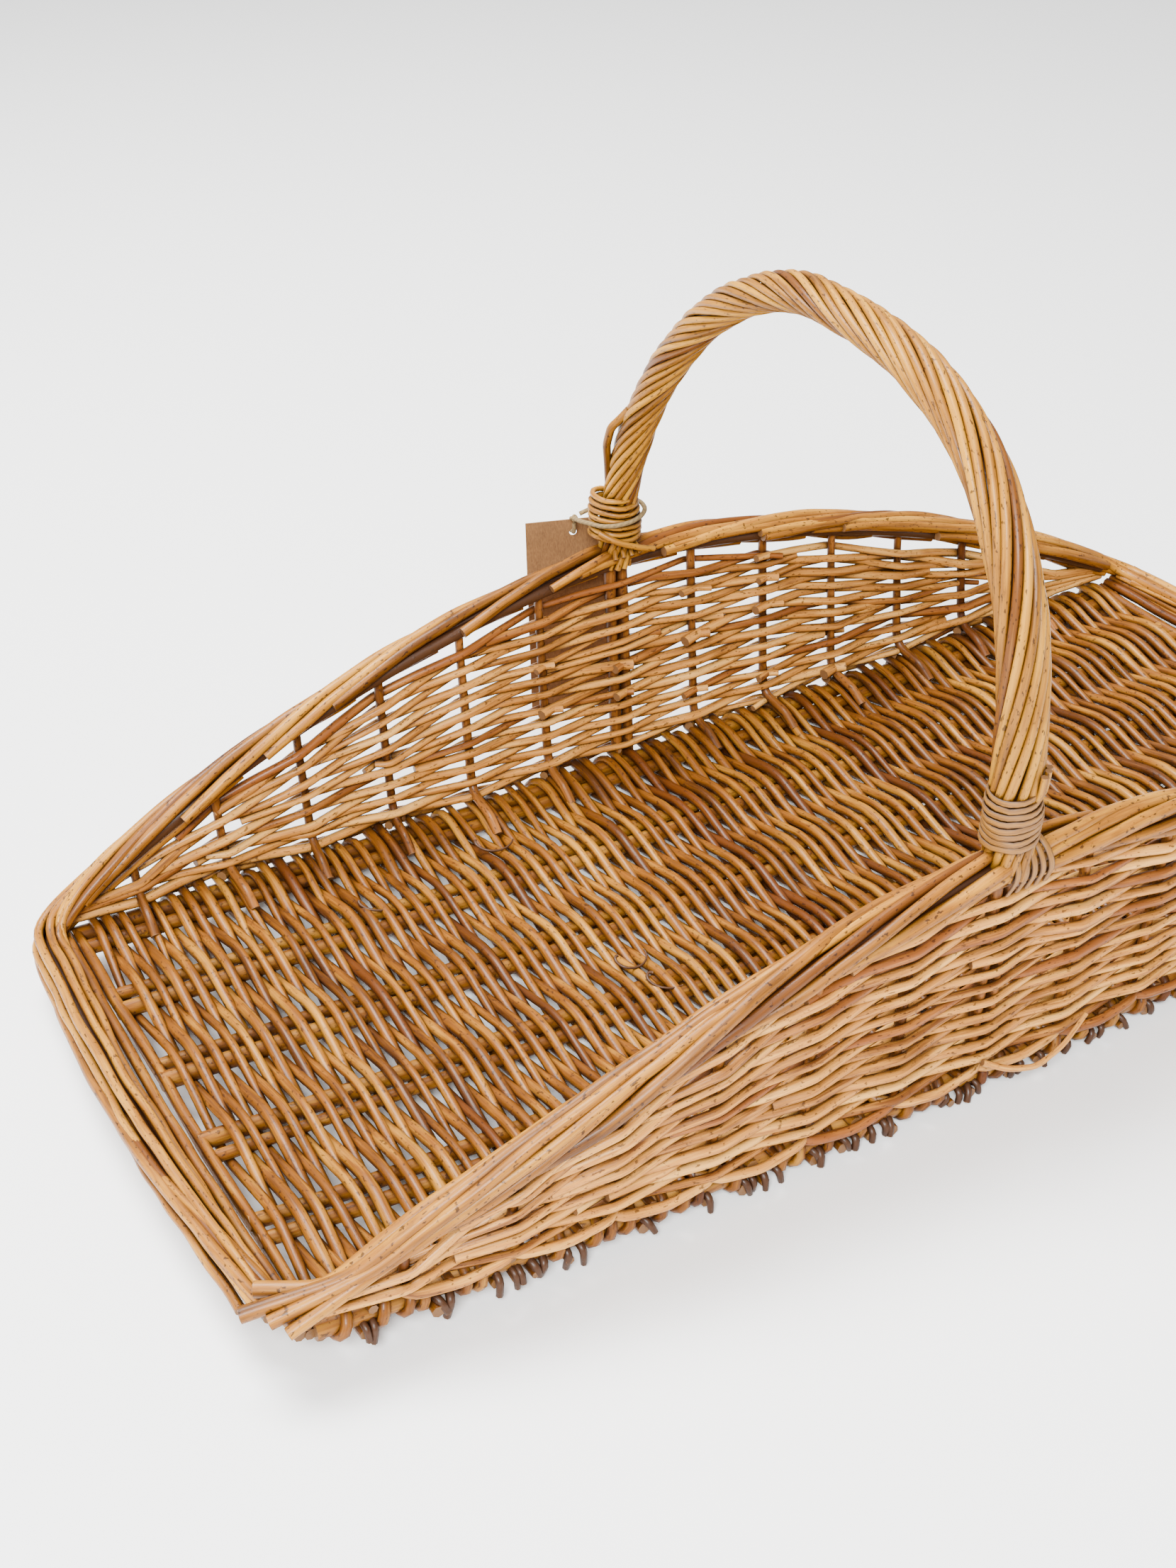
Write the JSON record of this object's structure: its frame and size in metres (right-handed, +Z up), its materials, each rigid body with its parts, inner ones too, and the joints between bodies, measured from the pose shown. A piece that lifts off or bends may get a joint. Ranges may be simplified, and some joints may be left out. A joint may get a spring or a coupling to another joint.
{
  "type": "woven market basket",
  "caption": "Low rectangular willow market basket with a woven base, curved long sides that fall to open low ends, a rolled border and a roped bow handle lashed across the middle.",
  "frame": {"origin": "on the ground, under the middle of the base", "axes": "+X along the basket's length, +Y across it towards the side that carries the tag, +Z up"},
  "size_m": [0.767, 0.3873, 0.3545],
  "materials": {
    "buff_willow": "thin satin varnish",
    "stake_willow": "thin satin varnish, darker rods",
    "split_willow": "split skein, satin",
    "jute_twine": "matt twisted twine",
    "kraft_card": "matt card"
  },
  "bodies": {
    "root": {"base_stick_01": "buff_willow", "base_stick_02": "buff_willow", "base_stick_03": "buff_willow", "base_stick_04": "buff_willow", "base_stick_05": "buff_willow", "base_stick_06": "buff_willow", "base_stick_07": "buff_willow", "base_stick_08": "buff_willow", "base_stick_09": "buff_willow", "base_stick_10": "buff_willow", "base_stick_11": "buff_willow", "base_stick_12": "buff_willow", "base_weave": "buff_willow", "border_back": "buff_willow", "border_front": "buff_willow", "border_left": "buff_willow", "border_right": "buff_willow", "end_weave_left": "buff_willow", "end_weave_right": "buff_willow", "handle_bow_1": "stake_willow", "handle_bow_2": "stake_willow", "handle_lashing_back": "split_willow", "handle_lashing_front": "split_willow", "handle_roping": "buff_willow", "lashing_strands_back": "split_willow", "lashing_strands_front": "split_willow", "side_weave_back": "buff_willow", "side_weave_front": "buff_willow", "stake_back_01": "stake_willow", "stake_back_02": "stake_willow", "stake_back_03": "stake_willow", "stake_back_04": "stake_willow", "stake_back_05": "stake_willow", "stake_back_06": "stake_willow", "stake_back_07": "stake_willow", "stake_back_08": "stake_willow", "stake_back_09": "stake_willow", "stake_back_10": "stake_willow", "stake_back_11": "stake_willow", "stake_back_12": "stake_willow", "stake_front_01": "stake_willow", "stake_front_02": "stake_willow", "stake_front_03": "stake_willow", "stake_front_04": "stake_willow", "stake_front_05": "stake_willow", "stake_front_06": "stake_willow", "stake_front_07": "stake_willow", "stake_front_08": "stake_willow", "stake_front_09": "stake_willow", "stake_front_10": "stake_willow", "stake_front_11": "stake_willow", "stake_front_12": "stake_willow", "twine_knot": "jute_twine", "twine_wrap": "jute_twine"},
    "tag": {"twine_drop": "jute_twine", "twine_end_knot": "jute_twine", "swing_tag": "kraft_card"}
  },
  "joints": [
    {"name": "tag_swing", "type": "hinge", "parent": "root", "child": "tag", "pos_m": [-0.02578, 0.19011, 0.1601], "axis": [0.9397, -0.342, 0], "range_deg": [0, 80]}
  ]
}
